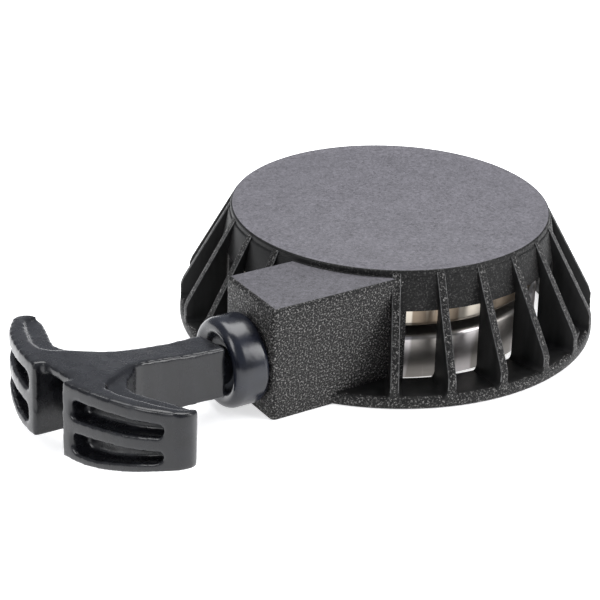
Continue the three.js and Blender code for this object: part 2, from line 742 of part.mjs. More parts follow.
// What lies between the handle's top and bottom, each brought in by a recess. The top is flat
// along the arms, and the bottom rises towards their tips.
function heightLimits(recess) {
  const top = HANDLE_TOP - recess;
  const bottom = HANDLE_BOTTOM + recess;
  const rise = TIP_BOTTOM - HANDLE_BOTTOM;
  const fromSide = solid(standing(outline([
    [SHANK_START - 1, SHANK_HALF_HEIGHT],
    [SHANK_START + 14, SHANK_HALF_HEIGHT + 0.1],
    [HANDLE_FRONT - 12, top],
    [HANDLE_FRONT + 1, top],
    [HANDLE_FRONT + 1, bottom],
    [HANDLE_FRONT - 10, bottom],
    [HANDLE_FRONT - 22, -SHANK_HALF_HEIGHT - 1.4],
    [SHANK_START + 14, -SHANK_HALF_HEIGHT - 0.1],
    [SHANK_START - 1, -SHANK_HALF_HEIGHT],
  ]), 2 * ARM_TIP + 4, 0));
  const seenFromFront = mirrored([
    [bottom, 0],
    [bottom, 14],
    [bottom + 0.13 * rise, 20],
    [bottom + 0.36 * rise, 26],
    [bottom + rise, ARM_TIP],
    [bottom + rise, ARM_TIP + 1],
    [top, ARM_TIP + 1],
    [top, 0],
  ]).map(([up, side]) => [side, up]);
  const fromFront = solid(standing(outline(seenFromFront), 2 * HANDLE_FRONT + 4, Math.PI / 2));
  return fromSide.intersect(fromFront);
}

// Two slots in each arm's palm side, widest near the middle of the handle.
function palmSlots() {
  const start = 2;
  const stop = 12;
  const outside = palmLine(-2).slice(start, stop);
  const inside = palmLine(SLOT_DEPTH).slice(start, stop);
  const band = [...outside, ...inside.reverse()];
  const wedges = [
    [
      [1, 10], [0.3, 11.2], [1.2, 27], [2.1, 34.8], [3, 35.8], [4.2, 35.8], [4.9, 34.8],
      [5, 11.4], [4, 10],
    ],
    [
      [-4.4, 10.4], [-3.4, 11.6], [-2.6, 27], [-1.9, 34.8], [-2.5, 35.8], [-3.5, 35.6],
      [-4.6, 33.6], [-8, 18.5], [-8.3, 12], [-7.2, 10.4],
    ],
  ];
  return joined([1, -1].flatMap((arm) => wedges.map((wedge) => {
    const plan = solid(raised(outline(band.map(([out, side]) => [out, arm * side])), -12, 12));
    const face = outline(wedge.map(([up, side]) => [arm * side, up]));
    return plan.intersect(solid(standing(face, 2 * HANDLE_FRONT + 4, Math.PI / 2)));
  })));
}

function handle() {
  const plate = solid(raised(platePlan(), HANDLE_BOTTOM - 1, HANDLE_TOP + 1)).intersect(heightLimits(0));
  const shelf = solid(raised(shelfPlan(), HANDLE_BOTTOM, HANDLE_TOP)).intersect(heightLimits(SHELF_RECESS));
  const pocket = solid(block(
    [POCKET_FLOOR, -POCKET_HALF_WIDTH, HANDLE_BOTTOM - 2],
    [HANDLE_FRONT + 4, POCKET_HALF_WIDTH, POCKET_CEILING],
  ));
  const notch = solid(block(
    [HANDLE_FRONT - POCKET_NOTCH, -POCKET_HALF_WIDTH, 0],
    [HANDLE_FRONT + 4, POCKET_HALF_WIDTH, HANDLE_TOP + 2],
  ));
  const bore = solid(rod(ROPE_BORE_RADIUS, 0, POCKET_FLOOR + 1).rotateY(Math.PI / 2));
  const aroundNose = solid(block([0, -10, -10], [NOSE_END, 10, 10]));
  const nose = solid(rod(NOSE_RADIUS, -1, NOSE_END + 1, SMALL_SEGMENTS).rotateY(Math.PI / 2));
  const cuts = joined([pocket, notch, bore, palmSlots(), aroundNose.subtract(nose)]);
  // The plan's out direction is turned to run along -X, with sideways along +Y.
  return facingOut(geometryOf(plate.add(shelf).subtract(cuts)).scale(-1, 1, 1));
}

const handleSeat = new THREE.Group();
handleSeat.position.copy(HANDLE_PIVOT);
handleSeat.rotation.set(HANDLE_ROLL, HANDLE_PITCH, HANDLE_YAW, 'ZYX');
assembly.add(handleSeat);
addNode('handle', handle(), HANDLE_BLACK, 0.35, 0, handleSeat);

// ---------- rope ----------

function knot(radius) {
  const geometry = new THREE.SphereGeometry(radius, 14, 10);
  return geometry.scale(1, 0.9, 0.95);
}

// From the coil's tangent point, through the guide and the handle's bore, to the knot.
function ropeRun() {
  const inHandle = (out) => new THREE.Vector3(-out, 0, 0)
    .applyEuler(handleSeat.rotation)
    .add(HANDLE_PIVOT);
  const path = new THREE.CatmullRomCurve3([
    new THREE.Vector3(RUN_START, ROPE_LINE, ROPE_HEIGHT),
    new THREE.Vector3(-30, ROPE_LINE, ROPE_HEIGHT - 0.1),
    new THREE.Vector3(-46, ROPE_LINE, GUIDE_HEIGHT + 0.4),
    new THREE.Vector3(BOX_FRONT, GUIDE_Y - 0.05, GUIDE_HEIGHT - 0.1),
    inHandle(4),
    inHandle(20),
    inHandle(HANDLE_KNOT_OUT - HANDLE_KNOT_RADIUS - 0.4),
  ]);
  return tube(path, ROPE_RADIUS, 24, 8);
}

addNode('rope_coil', facingOut(turned(
  ringProfile(COIL_INNER_RADIUS, COIL_OUTER_RADIUS, ROPE_HEIGHT - ROPE_RADIUS, ROPE_HEIGHT + ROPE_RADIUS),
  REEL_SEGMENTS,
)), ROPE_GREY, 0.9, 0);
addNode('rope_run', facingOut(ropeRun()), ROPE_GREY, 0.9, 0);
addNode('rope_handle_knot', facingOut(
  knot(HANDLE_KNOT_RADIUS).translate(-HANDLE_KNOT_OUT, 0, 0),
), ROPE_GREY, 0.9, 0, handleSeat);
addNode('rope_reel_knot', facingOut(
  knot(REEL_KNOT_RADIUS).translate(REEL_KNOT_PLACE.x, REEL_KNOT_PLACE.y, REEL_KNOT_PLACE.z),
), ROPE_GREY, 0.9, 0);

export default group;
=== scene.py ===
"""Recoil starter: the finished surfaces of the moulded cover, the rope guide, the T-handle, the
steel reel with its rope, and the pawls and centre screw under it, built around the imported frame.

Lengths below are in millimetres, and heights are measured up from the engine face."""

import math

import bmesh
import bpy
from mathutils import Euler, Matrix, Vector


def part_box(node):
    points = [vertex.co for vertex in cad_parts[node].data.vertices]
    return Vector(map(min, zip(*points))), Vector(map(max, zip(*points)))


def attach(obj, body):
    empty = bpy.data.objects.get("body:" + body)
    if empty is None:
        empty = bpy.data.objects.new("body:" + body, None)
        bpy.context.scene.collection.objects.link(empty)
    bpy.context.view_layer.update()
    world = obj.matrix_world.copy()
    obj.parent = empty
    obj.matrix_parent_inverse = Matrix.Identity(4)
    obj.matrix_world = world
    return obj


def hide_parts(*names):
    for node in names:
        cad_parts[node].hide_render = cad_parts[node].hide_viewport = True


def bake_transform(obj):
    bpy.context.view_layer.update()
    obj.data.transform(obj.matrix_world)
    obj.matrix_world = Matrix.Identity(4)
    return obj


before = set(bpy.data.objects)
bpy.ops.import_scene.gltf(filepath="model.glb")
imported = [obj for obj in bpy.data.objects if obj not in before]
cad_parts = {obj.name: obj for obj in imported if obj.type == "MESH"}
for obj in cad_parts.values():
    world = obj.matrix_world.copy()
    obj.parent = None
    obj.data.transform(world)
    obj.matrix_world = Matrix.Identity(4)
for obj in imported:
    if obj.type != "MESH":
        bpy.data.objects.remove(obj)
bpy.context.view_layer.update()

MM = 0.001
ENGINE_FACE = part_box("housing")[0].z

# Cover
TOP = 33.4
TOP_RADIUS = 44.9
SKIRT_RADIUS = 47.0
SKIRT_HEIGHT = 22.5
WALL = 2.4
BASE_RADIUS = 59.0
RING_INNER = 47.2
RING_THICKNESS = 3.2
RIB_COUNT = 24
RIB_PHASE = -2.0
RIB_THICKNESS = 2.3
RIB_KNEE = 8.5
FOOT_FLARE = ((3.2, 1.9), (3.6, 1.5), (4.1, 1.22), (4.8, 1.06))
BOX_FRONT = -61.9
BOX_NEAR = -39.5
BOX_FAR = -15.3
BOX_TOP = 31.5
BOX_BACK_RADIUS = 44.8
BOSS_ANGLES = (-54.5, 65.5, 185.5)
BOSS_CIRCLE = 53.0
BOSS_RADIUS = 4.2
BOSS_HEIGHT = 5.0
BOSS_BORE = 2.6

# Reel, rope and handle
REEL_RADIUS = 42.5
SHEET = 1.1
GROOVE_BOTTOM = 13.1
GROOVE_TOP = 15.7
ROPE_RADIUS = 1.2
ROPE_HEIGHT = 14.4
ROPE_LINE = -27.5
ROPE_PITCH = 2.5
ROPE_TURNS = 5.5
COIL_STEPS = 40
REEL_KNOT_OUT = 15.2
GUIDE_Y = -27.4
GUIDE_HEIGHT = 13.5
HANDLE_PIVOT = (-66.0, -28.5, 13.7)
HANDLE_TURN = Euler((math.radians(-5.1), math.radians(4.25), math.radians(4.7)), "XYZ")
HANDLE_VOXEL = 0.37
HANDLE_PASSES = 34
PAWL_CIRCLE = 24.0

# Camera
CAMERA_AZIMUTH = -32.6
CAMERA_ELEVATION = 26.05
CAMERA_ROLL = 1.52
CAMERA_DISTANCE = 0.55556
CAMERA_LENS = 115.55
CAMERA_AIM = (-24.54, 2.07)


# ---------- making shapes ----------


def at(x, y, height):
    return Vector((x * MM, y * MM, height * MM + ENGINE_FACE))


def height_of(point):
    return (point.z - ENGINE_FACE) / MM


def radius_of(point):
    return math.hypot(point.x, point.y) / MM


def turned(profile, steps=96, closed=True):
    """A profile of (radius, height) points spun about the crank axis."""
    bm = bmesh.new()
    verts = [bm.verts.new(at(radius, 0, height)) for radius, height in profile]
    edges = [bm.edges.new(pair) for pair in zip(verts, verts[1:])]
    if closed:
        edges.append(bm.edges.new((verts[-1], verts[0])))
    bmesh.ops.spin(
        bm,
        geom=verts + edges,
        cent=(0, 0, 0),
        axis=(0, 0, 1),
        dvec=(0, 0, 0),
        angle=2 * math.pi,
        steps=steps,
        use_merge=True,
        use_duplicate=False,
    )
    clean(bm)
    return bm


def clean(bm):
    bmesh.ops.remove_doubles(bm, verts=bm.verts, dist=1e-6)
    bmesh.ops.recalc_face_normals(bm, faces=bm.faces)


def raised(outline, bottom, top):
    """An outline of (x, y) points, drawn at one height and pulled up to another."""
    bm = bmesh.new()
    bm.faces.new([bm.verts.new(at(x, y, bottom)) for x, y in outline])
    pull(bm, (top - bottom) * MM)
    return bm


def pull(bm, distance):
    made = bmesh.ops.extrude_face_region(bm, geom=bm.faces[:])["geom"]
    tops = [v for v in made if isinstance(v, bmesh.types.BMVert)]
    bmesh.ops.translate(bm, verts=tops, vec=(0, 0, distance))
    clean(bm)


def soften(bm, width, segments=3, angle=30.0, where=None, clamp=True):
    """Rounds the edges that turn by more than an angle, where a rule picks them."""
    limit = math.radians(angle)
    edges = []
    for edge in bm.edges:
        if len(edge.link_faces) != 2 or edge.calc_face_angle(0.0) < limit:
            continue
        middle = (edge.verts[0].co + edge.verts[1].co) / 2
        if where is None or where(middle):
            edges.append(edge)
    bmesh.ops.bevel(
        bm,
        geom=edges,
        offset=width * MM,
        offset_type="OFFSET",
        segments=segments,
        profile=0.5,
        affect="EDGES",
        clamp_overlap=clamp,
        material=-1,
    )


def moved(bm, matrix):
    bmesh.ops.transform(bm, matrix=matrix, verts=bm.verts)
    return bm


def about_axis(degrees):
    return Matrix.Rotation(math.radians(degrees), 4, "Z")


def on_circle(radius, degrees):
    angle = math.radians(degrees)
    return radius * math.cos(angle), radius * math.sin(angle)


def gathered(parts):
    whole = bmesh.new()
    for part in parts:
        mesh = bpy.data.meshes.new("part")
        part.to_mesh(mesh)
        part.free()
        whole.from_mesh(mesh)
        bpy.data.meshes.remove(mesh)
    return whole


def merged_copy_of(node):
    bm = bmesh.new()
    bm.from_mesh(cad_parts[node].data)
    bmesh.ops.remove_doubles(bm, verts=bm.verts, dist=2e-6)
    return bm


def copy_of(node):
    """A merged copy of a frame solid, its flat faces whole again."""
    bm = merged_copy_of(node)
    bmesh.ops.dissolve_limit(
        bm,
        angle_limit=math.radians(0.5),
        use_dissolve_boundaries=False,
        verts=bm.verts,
        edges=bm.edges,
        delimit=set(),
    )
    return bm


def piece(name, bm, body, nodes, finishes, smooth_angle=32.0):
    mesh = bpy.data.meshes.new(name)
    for face in bm.faces:
        face.smooth = True
    bm.to_mesh(mesh)
    bm.free()
    mesh.set_sharp_from_angle(angle=math.radians(smooth_angle))
    for finish in finishes:
        mesh.materials.append(finish)
    made = bpy.data.objects.new(name, mesh)
    bpy.context.scene.collection.objects.link(made)
    if body:
        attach(made, body)
    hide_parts(*nodes)
    return made


# ---------- finishes ----------


class Finish:
    """A material under construction: its nodes, and the shader they lead to."""

    def __init__(self, name, **settings):
        self.material = bpy.data.materials.new(name)
        self.material.use_nodes = True
        self.tree = self.material.node_tree
        self.shader = self.tree.nodes["Principled BSDF"]
        for key, value in settings.items():
            self.shader.inputs[key.replace("_", " ")].default_value = value
        self.place = self.tree.nodes.new("ShaderNodeTexCoord").outputs["Object"]

    def link(self, source, target):
        self.tree.links.new(source, target)

    def spot(self, scale, detail=2.0, roughness=0.5, distortion=0.0, stretch=None):
        """Noise in lumps of about 1 / scale metres."""
        node = self.tree.nodes.new("ShaderNodeTexNoise")
        node.inputs["Scale"].default_value = scale
        node.inputs["Detail"].default_value = detail
        node.inputs["Roughness"].default_value = roughness
        node.inputs["Distortion"].default_value = distortion
        self.link(self.stretched(stretch), node.inputs["Vector"])
        return node.outputs["Fac"]

    def stretched(self, stretch):
        if stretch is None:
            return self.place
        mapping = self.tree.nodes.new("ShaderNodeMapping")
        mapping.inputs["Scale"].default_value = stretch
        self.link(self.place, mapping.inputs["Vector"])
        return mapping.outputs["Vector"]

    def bands(self, scale, turn, distortion=0.0):
        mapping = self.tree.nodes.new("ShaderNodeMapping")
        mapping.inputs["Rotation"].default_value = turn
        self.link(self.place, mapping.inputs["Vector"])
        node = self.tree.nodes.new("ShaderNodeTexWave")
        node.inputs["Scale"].default_value = scale
        node.inputs["Distortion"].default_value = distortion
        self.link(mapping.outputs["Vector"], node.inputs["Vector"])
        return node.outputs["Fac"]

    def ramp(self, source, stops):
        node = self.tree.nodes.new("ShaderNodeValToRGB")
        self.link(source, node.inputs["Fac"])
        points = node.color_ramp.elements
        while len(points) < len(stops):
            points.new(0.5)
        for point, (position, colour) in zip(points, stops):
            point.position = position
            point.color = (*colour, 1.0)
        return node.outputs["Color"]

    def between(self, source, low, high):
        node = self.tree.nodes.new("ShaderNodeMapRange")
        self.link(source, node.inputs["Value"])
        node.inputs["To Min"].default_value = low
        node.inputs["To Max"].default_value = high
        return node.outputs["Result"]

    def sum_of(self, first, second, operation="ADD"):
        node = self.tree.nodes.new("ShaderNodeMath")
        node.operation = operation
        self.link(first, node.inputs[0])
        self.link(second, node.inputs[1])
        return node.outputs["Value"]

    def colour(self, source):
        self.link(source, self.shader.inputs["Base Color"])

    def roughness(self, source):
        self.link(source, self.shader.inputs["Roughness"])

    def bump(self, source, depth, strength=1.0):
        """A surface raised by depth millimetres where the source is 1."""
        node = self.tree.nodes.new("ShaderNodeBump")
        node.inputs["Distance"].default_value = depth * MM
        node.inputs["Strength"].default_value = strength
        self.link(source, node.inputs["Height"])
        before = self.shader.inputs["Normal"].links
        if before:
            self.link(before[0].from_socket, node.inputs["Normal"])
        self.link(node.outputs["Normal"], self.shader.inputs["Normal"])


def grey(value, tint=0.0):
    """A grey, a little violet for a positive tint and a little brown for a negative one."""
    return (value, value * (1 - 0.5 * abs(tint)), value * (1 + tint))


def nylon_flat(name, dark, bright):
    """The cover's outer flats: a fine wavy grain in glass-filled nylon, its colour lightened as a
    painted sheen.
    """
    finish = Finish(name, Roughness=0.55, Specular_IOR_Level=0.3)
    grain = finish.spot(1000, detail=5.0, roughness=0.7, distortion=1.2)
    cloud = finish.spot(140, detail=2.0)
    shade = finish.sum_of(finish.between(grain, 0.0, 0.85), finish.between(cloud, 0.0, 0.15))
    # The ramp's greys are lighter than the black nylon itself: painted sheen over the real grain.
    finish.colour(finish.ramp(shade, [(0.34, grey(dark, 0.08)), (0.66, grey(bright, 0.08))]))
    finish.roughness(finish.between(grain, 0.42, 0.7))
    finish.bump(grain, 0.14, 0.85)
    return finish.material


def nylon_spark(name, dark, middle, bright):
    """A speckled spark-eroded texture: bright on the box, duller on the ribs, ring and wall."""
    finish = Finish(name, Roughness=0.5, Specular_IOR_Level=0.2)
    speck = finish.spot(2000, detail=3.0, roughness=0.75)
    coarse = finish.spot(1100, detail=1.0)
    finish.colour(finish.ramp(speck, [
        (0.44, grey(dark, -0.06)), (0.55, grey(middle, -0.06)), (0.67, grey(bright, -0.06)),
    ]))
    finish.roughness(finish.between(coarse, 0.35, 0.7))
    finish.bump(speck, 0.12, 0.9)
    finish.bump(coarse, 0.08, 0.5)
    return finish.material


def nylon_smooth():
    """The faces between the ribs, left smooth by the mould; also laid on the drum's wall behind the
    outlet box as painted shade.
    """
    finish = Finish("nylon_smooth_face", Roughness=0.42, Specular_IOR_Level=0.16)
    streak = finish.spot(420, detail=3.0, stretch=(1.0, 1.0, 0.15))
    finish.colour(finish.ramp(streak, [(0.3, grey(0.005)), (0.75, grey(0.013))]))
    finish.roughness(finish.between(streak, 0.36, 0.55))
    finish.bump(finish.spot(1800, detail=2.0), 0.015, 0.6)
    return finish.material


def rib_edge_highlight_finish():
    """The ribs' rounded edges: their lighter colour is a painted highlight where they catch the light,
    and they are shinier than the rib sides.
    """
    finish = Finish("rib_edge_painted_highlight", Roughness=0.34, Specular_IOR_Level=0.5)
    edge_glint = finish.spot(900, detail=4.0, roughness=0.7)
    finish.colour(finish.ramp(edge_glint, [(0.38, grey(0.012)), (0.62, grey(0.085))]))
    finish.roughness(finish.between(edge_glint, 0.3, 0.52))
    return finish.material


def guide_gloss():
    """Polished black, with the slow ripple of a moulded surface."""
    finish = Finish("guide_gloss_black", Roughness=0.2, Specular_IOR_Level=0.55)
    flow = finish.spot(160, detail=2.0)
    finish.colour(finish.ramp(flow, [(0.3, (0.0025, 0.003, 0.006)), (0.7, (0.007, 0.009, 0.017))]))
    finish.roughness(finish.between(flow, 0.14, 0.34))
    finish.bump(finish.spot(120, detail=3.0), 0.2, 0.7)
    return finish.material


def handle_satin():
    """Satin black, its sheen dragged upright where hands have rubbed it."""
    finish = Finish("handle_satin_black", Roughness=0.3, Specular_IOR_Level=0.45)
    mottle = finish.spot(260, detail=3.0)
    fine = finish.spot(2600, detail=2.0)
    finish.colour(finish.ramp(mottle, [(0.3, (0.003, 0.003, 0.004)), (0.72, (0.009, 0.0095, 0.012))]))
    drag = finish.spot(380, detail=3.0, stretch=(1.0, 1.0, 0.12))
    finish.roughness(finish.between(finish.sum_of(mottle, drag, "MULTIPLY"), 0.16, 0.6))
    finish.bump(fine, 0.015, 0.5)
    finish.bump(finish.spot(110, detail=1.0), 0.15, 0.5)
    return finish.material


def zinc_sheet(name, warm, cool, blur):
    """Bright plated sheet, with fine drawing marks around the cup. Its colour is two tones in upright
    patches: with a small blur they meet sharply as a painted reflection, with a wide blur they blend
    softly.
    """
    finish = Finish(name, Metallic=1.0, Roughness=0.3)
    drawn = finish.spot(260, detail=4.0, stretch=(1.0, 1.0, 9.0))
    tone_patches = finish.spot(150, detail=2.0, stretch=(1.0, 1.0, 0.12))
    # The two tones in upright patches: a painted reflection where the blur is small.
    finish.colour(finish.ramp(tone_patches, [(0.495 - blur, warm), (0.495 + blur, cool)]))
    finish.roughness(finish.between(drawn, 0.28, 0.42))
    finish.bump(finish.spot(70, detail=1.0), 0.05, 0.3)
    return finish.material


def fastener_zinc():
    finish = Finish("fastener_zinc", Metallic=1.0, Roughness=0.34)
    tone_patches = finish.spot(500, detail=3.0)
    finish.colour(finish.ramp(tone_patches, [(0.3, (0.5, 0.49, 0.45)), (0.7, (0.72, 0.7, 0.66))]))
    finish.roughness(finish.between(tone_patches, 0.26, 0.46))
    finish.bump(finish.spot(2500, detail=2.0), 0.01, 0.4)
    return finish.material


def pawl_steel():
    finish = Finish("pawl_hardened_steel", Metallic=1.0, Roughness=0.4)
    oil = finish.spot(220, detail=3.0)
    scale = finish.spot(1600, detail=3.0)
    finish.colour(finish.ramp(oil, [(0.3, (0.2, 0.2, 0.215)), (0.7, (0.4, 0.405, 0.42))]))
    finish.roughness(finish.between(scale, 0.26, 0.55))
    finish.bump(scale, 0.02, 0.5)
    return finish.material


def spring_steel():
    finish = Finish("spring_blued_steel", Metallic=1.0, Roughness=0.3)
    heat = finish.spot(150, detail=2.0)
    finish.colour(finish.ramp(heat, [(0.3, (0.1, 0.12, 0.17)), (0.7, (0.28, 0.27, 0.29))]))
    finish.roughness(finish.between(finish.spot(900), 0.2, 0.42))
    return finish.material


def natural_nylon():
    finish = Finish("hub_natural_nylon", Roughness=0.5, Specular_IOR_Level=0.4)
    cloud = finish.spot(180, detail=3.0)
    finish.colour(finish.ramp(cloud, [(0.3, (0.6, 0.56, 0.46)), (0.7, (0.72, 0.69, 0.6))]))
    finish.bump(finish.spot(1500, detail=2.0), 0.02, 0.4)
    return finish.material


def sintered_bronze():
    finish = Finish("bush_sintered_bronze", Metallic=1.0, Roughness=0.45)
    pores = finish.spot(3000, detail=2.0)
    finish.colour(finish.ramp(pores, [(0.35, (0.3, 0.19, 0.08)), (0.55, (0.62, 0.43, 0.22))]))
    finish.bump(pores, 0.02, 0.6)
    return finish.material


def braided_rope():
    """Two crossing sets of strands, in dark grey polyester with a lighter fleck."""
    finish = Finish("rope_braid", Roughness=0.85, Sheen_Weight=0.3)
    turn = math.radians(45)
    strands = finish.sum_of(
        finish.bands(420, (0.5, 0.3, turn)), finish.bands(420, (-0.5, -0.3, -turn)), "MAXIMUM"
    )
    fleck = finish.spot(900, detail=3.0)
    shade = finish.sum_of(finish.between(strands, 0.0, 0.7), finish.between(fleck, 0.0, 0.3))
    finish.colour(finish.ramp(shade, [(0.3, grey(0.03)), (0.75, grey(0.16)), (0.95, grey(0.3))]))
    finish.bump(strands, 0.25, 0.8)
    return finish.material


# The two flat finishes carry a painted sheen in their colour, the box's top a little darker than the
# drum's.
NYLON_FLAT_PAINTED_SHEEN = nylon_flat("nylon_flat_grain_and_painted_sheen", 0.05, 0.16)
NYLON_BOX_TOP_PAINTED_SHEEN = nylon_flat("nylon_box_top_grain_and_painted_sheen", 0.032, 0.125)
NYLON_SPARK = nylon_spark("nylon_spark_texture", 0.004, 0.032, 0.34)
NYLON_DULL = nylon_spark("nylon_dull_texture", 0.003, 0.014, 0.22)
NYLON_WALL = nylon_spark("nylon_wall_texture", 0.003, 0.008, 0.06)
NYLON_SMOOTH = nylon_smooth()
NYLON_EDGE_PAINTED_HIGHLIGHT = rib_edge_highlight_finish()
GUIDE_GLOSS = guide_gloss()
HANDLE_SATIN = handle_satin()
# The outer bands' sharp warm and cool patches are a painted reflection; inside the cups the two tones
# blend softly.
UPPER_ZINC = zinc_sheet("reel_zinc_upper_painted_reflection", (0.2, 0.16, 0.12), (0.5, 0.455, 0.39), 0.035)
LOWER_ZINC = zinc_sheet("reel_zinc_bright", (0.25, 0.235, 0.22), (0.46, 0.435, 0.435), 0.035)
INNER_ZINC = zinc_sheet("reel_zinc_inside", (0.3, 0.285, 0.265), (0.46, 0.445, 0.43), 0.3)
FASTENER_ZINC = fastener_zinc()
PAWL_STEEL = pawl_steel()
SPRING_STEEL = spring_steel()
NATURAL_NYLON = natural_nylon()
SINTERED_BRONZE = sintered_bronze()
BRAIDED_ROPE = braided_rope()

FLAT, SPARK, SMOOTH, EDGE, DULL, SIDE, BOX_LID = range(7)


# ---------- cover ----------


def paint(bm, rule):
    """Gives each face the number of its finish, from its middle and its direction."""
    for face in bm.faces:
        face.material_index = rule(face.calc_center_median(), face.normal)


def cover_drum():
    """The flat round top and the wall that slopes out from it to the skirt."""
    bm = turned([
        (0, TOP),
        (TOP_RADIUS - 3.6, TOP),
        (TOP_RADIUS - 3.2, TOP - 0.12),
        (TOP_RADIUS - 2.9, TOP - 0.12),
        (TOP_RADIUS - 2.5, TOP - 0.03),
        (TOP_RADIUS - 0.1, TOP - 0.03),
        (TOP_RADIUS - 0.05, TOP - 1.6),
        (TOP_RADIUS + 0.35, TOP - 1.9),
        (SKIRT_RADIUS, SKIRT_HEIGHT),
        (SKIRT_RADIUS - WALL, SKIRT_HEIGHT),
        (TOP_RADIUS - 1.3, TOP - WALL),
        (0, TOP - WALL),
    ], steps=144, closed=False)
    soften(bm, 0.75, 4, 50, lambda p: height_of(p) > TOP - 1)
    soften(bm, 0.2, 2, 35, lambda p: TOP - 2.1 < height_of(p) < TOP - 1.7)
    soften(bm, 0.4, 2, 50, lambda p: height_of(p) < SKIRT_HEIGHT + 1)
    bm.normal_update()
    # Faces that point up get the flat grain with its painted sheen; the wall behind the outlet box
    # gets the near-black smooth finish as painted shade; the rest of the wall gets the wall speckle.
    paint(bm, lambda p, n: FLAT if n.z > 0.85 else SMOOTH if painted_shade_behind_box(p) else SIDE)
    return bm


def painted_shade_behind_box(place):
    """The side of the drum behind the rope outlet box, which gets the near-black smooth finish as
    painted shade.
    """
    return place.x < 0 and -0.5 < math.atan2(place.x, place.y) + math.pi / 2 < 0.9


def ring_loop(bm, radius, count, x=0.0, y=0.0):
    made = bmesh.ops.create_circle(
        bm, cap_ends=False, radius=radius * MM, segments=count,
        matrix=Matrix.Translation(at(x, y, 0)),
    )
    return {edge for vert in made["verts"] for edge in vert.link_edges}


def on_ring_edge(place):
    return abs(radius_of(place) - BASE_RADIUS) < 0.3


def cover_ring():
    """The flat ring that lies on the engine, with its three screw holes."""
    bm = bmesh.new()
    edges = ring_loop(bm, BASE_RADIUS, 144) | ring_loop(bm, RING_INNER, 144)
    for degrees in BOSS_ANGLES:
        edges |= ring_loop(bm, BOSS_BORE, 24, *on_circle(BOSS_CIRCLE, degrees))
    bmesh.ops.triangle_fill(
        bm, use_beauty=True, use_dissolve=False, edges=list(edges), normal=(0, 0, 1)
    )
    pull(bm, RING_THICKNESS * MM)
    soften(bm, 1.3, 5, 50, lambda p: on_ring_edge(p) and height_of(p) > 1, clamp=False)
    soften(bm, 0.6, 3, 50, lambda p: on_ring_edge(p) and height_of(p) < 1, clamp=False)
    soften(bm, 0.35, 2, 50, lambda p: abs(radius_of(p) - RING_INNER) < 0.2)
    paint(bm, lambda p, n: DULL if radius_of(p) > BASE_RADIUS - 1.5 else SMOOTH)
    return bm


def cover_boss(degrees):
    x, y = on_circle(BOSS_CIRCLE, degrees)
    bm = turned([
        (BOSS_BORE, 0.1), (BOSS_RADIUS, 0.1), (BOSS_RADIUS, BOSS_HEIGHT), (BOSS_BORE, BOSS_HEIGHT),
    ], steps=40)
    soften(bm, 0.3, 2, 50, lambda p: height_of(p) > BOSS_HEIGHT - 1)
    paint(bm, lambda p, n: SMOOTH)
    return moved(bm, Matrix.Translation((x * MM, y * MM, 0)))


def cover_rib(degrees):
    """A fin from the top's edge down to the ring, its long edge straight to a knee."""
    outline = [
        (TOP_RADIUS - 1.2, TOP - 1.0),
        (SKIRT_RADIUS - 1.2, SKIRT_HEIGHT + 0.4),
        (SKIRT_RADIUS, SKIRT_HEIGHT + 0.1),
        (SKIRT_RADIUS + 0.4, 0.4),
        (BASE_RADIUS - 0.15, 0.4),
        (BASE_RADIUS - 0.15, RIB_KNEE - 1.4),
        (BASE_RADIUS - 0.9, RIB_KNEE + 0.6),
        (TOP_RADIUS + 0.1, TOP - 0.8),
        (TOP_RADIUS - 0.6, TOP - 0.5),
    ]
    bm = bmesh.new()
    half = RIB_THICKNESS / 2
    bm.faces.new([bm.verts.new((out * MM, half * MM, height * MM + ENGINE_FACE))
                  for out, height in outline])
    made = bmesh.ops.extrude_face_region(bm, geom=bm.faces[:])["geom"]
    sides = [v for v in made if isinstance(v, bmesh.types.BMVert)]
    bmesh.ops.translate(bm, verts=sides, vec=(0, -RIB_THICKNESS * MM, 0))
    clean(bm)
    soften(bm, 0.7, 4, 50)
    flare_foot(bm)
    bm.normal_update()
    paint(bm, rib_finish)
    return moved(bm, about_axis(degrees))


def flare_foot(bm):
    """Widens a rib where it runs into the ring."""
    for height, _ in FOOT_FLARE:
        bmesh.ops.bisect_plane(
            bm, geom=bm.verts[:] + bm.edges[:] + bm.faces[:], dist=1e-7,
            plane_co=at(0, 0, height), plane_no=(0, 0, 1),
        )
    for vert in bm.verts:
        for height, factor in FOOT_FLARE:
            if height_of(vert.co) < height + 0.01:
                vert.co.y *= factor
                break


def rib_finish(place, normal):
    if abs(normal.y) > 0.97 or normal.x < 0 or (abs(normal.y) > 0.2 and height_of(place) < 5):
        return SMOOTH
    # Rounded edge faces get the painted highlight; the outer face gets the dull speckle.
    return EDGE if abs(normal.y) > 0.35 else DULL


def rib_angles():
    """Every rib's direction, but for the ribs that the rope outlet box replaces."""
    for i in range(RIB_COUNT):
        degrees = RIB_PHASE + i * 360 / RIB_COUNT
        x, y = on_circle(BASE_RADIUS, degrees)
        if not (x < 0 and -SKIRT_RADIUS + 0.5 < y < BOX_FAR - 2):
            yield degrees


